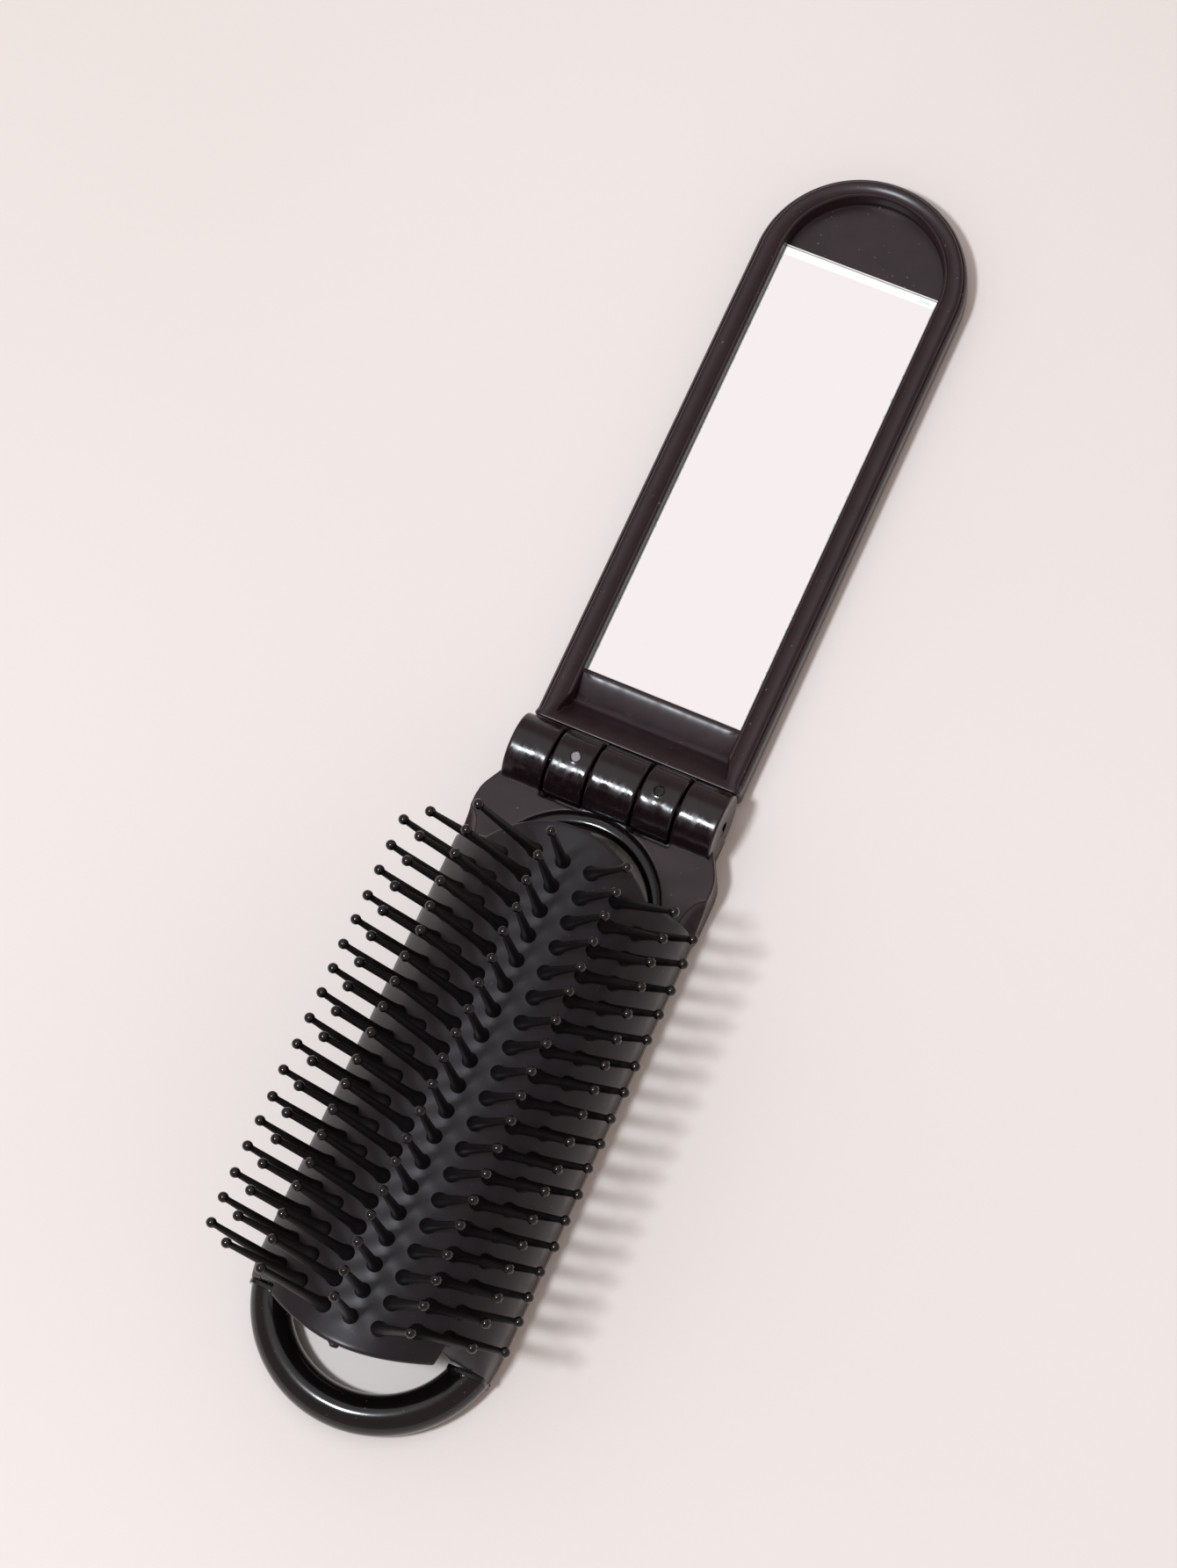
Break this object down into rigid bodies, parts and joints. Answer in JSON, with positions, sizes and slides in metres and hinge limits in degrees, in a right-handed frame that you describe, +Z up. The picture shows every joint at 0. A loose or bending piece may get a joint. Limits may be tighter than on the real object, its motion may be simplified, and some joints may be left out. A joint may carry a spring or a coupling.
{
  "type": "folding hairbrush with mirror",
  "caption": "Folding hairbrush: arched ball-tipped bristle pad in a looped frame, hinged by a steel pin to a long mirror half that closes over the bristles.",
  "frame": {"origin": "centre of the bounding box at the level of the table the open brush lies on", "axes": "X along the hinge pin, Y from the loop towards the mirror's round end, Z up, the way the bristles point"},
  "size_m": [0.0448, 0.1974, 0.0358],
  "materials": {
    "frame_plastic": "black moulded plastic, satin plate with glossy hinge, loop and rims",
    "pad_plastic": "black flexible plastic, pad and bristles moulded in one",
    "pin_steel": "plain drawn steel",
    "adhesive": "thin adhesive pad",
    "mirror_glass": "silvered glass with a polished bevel"
  },
  "bodies": {
    "brush_half": {"brush_frame": "frame_plastic", "hinge_pin": "pin_steel", "pad_edge_left": "pad_plastic", "pad_edge_right": "pad_plastic"},
    "mirror_half": {"mirror_shell": "frame_plastic", "mirror_tape": "adhesive", "mirror_glass": "mirror_glass"},
    "pad_centre": {"pad_centre": "pad_plastic"},
    "pad_left_1": {"pad_left_1": "pad_plastic"},
    "pad_left_2": {"pad_left_2": "pad_plastic"},
    "pad_left_3": {"pad_left_3": "pad_plastic"},
    "pad_right_1": {"pad_right_1": "pad_plastic"},
    "pad_right_2": {"pad_right_2": "pad_plastic"},
    "pad_right_3": {"pad_right_3": "pad_plastic"},
    "pad_shoulder_left": {"pad_shoulder_left": "pad_plastic"},
    "pad_shoulder_right": {"pad_shoulder_right": "pad_plastic"}
  },
  "joints": [
    {"name": "mirror_fold", "type": "hinge", "parent": "brush_half", "child": "mirror_half", "pos_m": [0, -0.00136, 0.00605], "axis": [1, 0, 0], "range_deg": [0, 180]},
    {"name": "pad_press", "type": "slide", "parent": "brush_half", "child": "pad_centre", "axis": [0, 0, -1], "range_m": [0, 0.028]},
    {"name": "pad_turn_left_1", "type": "hinge", "parent": "pad_centre", "child": "pad_left_1", "pos_m": [-0.00211, -0.00136, 0.01949], "axis": [0, 1, 0], "range_deg": [0, 24.2]},
    {"name": "pad_turn_left_2", "type": "hinge", "parent": "pad_left_1", "child": "pad_left_2", "pos_m": [-0.00652, -0.00136, 0.01851], "axis": [0, 1, 0], "range_deg": [0, 27.6]},
    {"name": "pad_turn_left_3", "type": "hinge", "parent": "pad_left_2", "child": "pad_left_3", "pos_m": [-0.01074, -0.00136, 0.01647], "axis": [0, 1, 0], "range_deg": [0, 19.2]},
    {"name": "pad_tuck_left", "type": "hinge", "parent": "pad_left_3", "child": "pad_shoulder_left", "pos_m": [-0.01288, -0.00136, 0.01357], "axis": [0, -1, 0], "range_deg": [0, 146]},
    {"name": "pad_turn_right_1", "type": "hinge", "parent": "pad_centre", "child": "pad_right_1", "pos_m": [0.00211, -0.00136, 0.01949], "axis": [0, -1, 0], "range_deg": [0, 24.2]},
    {"name": "pad_turn_right_2", "type": "hinge", "parent": "pad_right_1", "child": "pad_right_2", "pos_m": [0.00652, -0.00136, 0.01851], "axis": [0, -1, 0], "range_deg": [0, 27.6]},
    {"name": "pad_turn_right_3", "type": "hinge", "parent": "pad_right_2", "child": "pad_right_3", "pos_m": [0.01074, -0.00136, 0.01647], "axis": [0, -1, 0], "range_deg": [0, 19.2]},
    {"name": "pad_tuck_right", "type": "hinge", "parent": "pad_right_3", "child": "pad_shoulder_right", "pos_m": [0.01288, -0.00136, 0.01357], "axis": [0, 1, 0], "range_deg": [0, 146]}
  ],
  "couplings": [
    {"joint": "pad_press", "follows": "mirror_fold", "m_per_rad": 0.0089127},
    {"joint": "pad_turn_left_1", "follows": "mirror_fold", "ratio": 0.13444},
    {"joint": "pad_turn_left_2", "follows": "mirror_fold", "ratio": 0.15333},
    {"joint": "pad_turn_left_3", "follows": "mirror_fold", "ratio": 0.10667},
    {"joint": "pad_tuck_left", "follows": "mirror_fold", "ratio": 0.81111},
    {"joint": "pad_turn_right_1", "follows": "mirror_fold", "ratio": 0.13444},
    {"joint": "pad_turn_right_2", "follows": "mirror_fold", "ratio": 0.15333},
    {"joint": "pad_turn_right_3", "follows": "mirror_fold", "ratio": 0.10667},
    {"joint": "pad_tuck_right", "follows": "mirror_fold", "ratio": 0.81111}
  ]
}
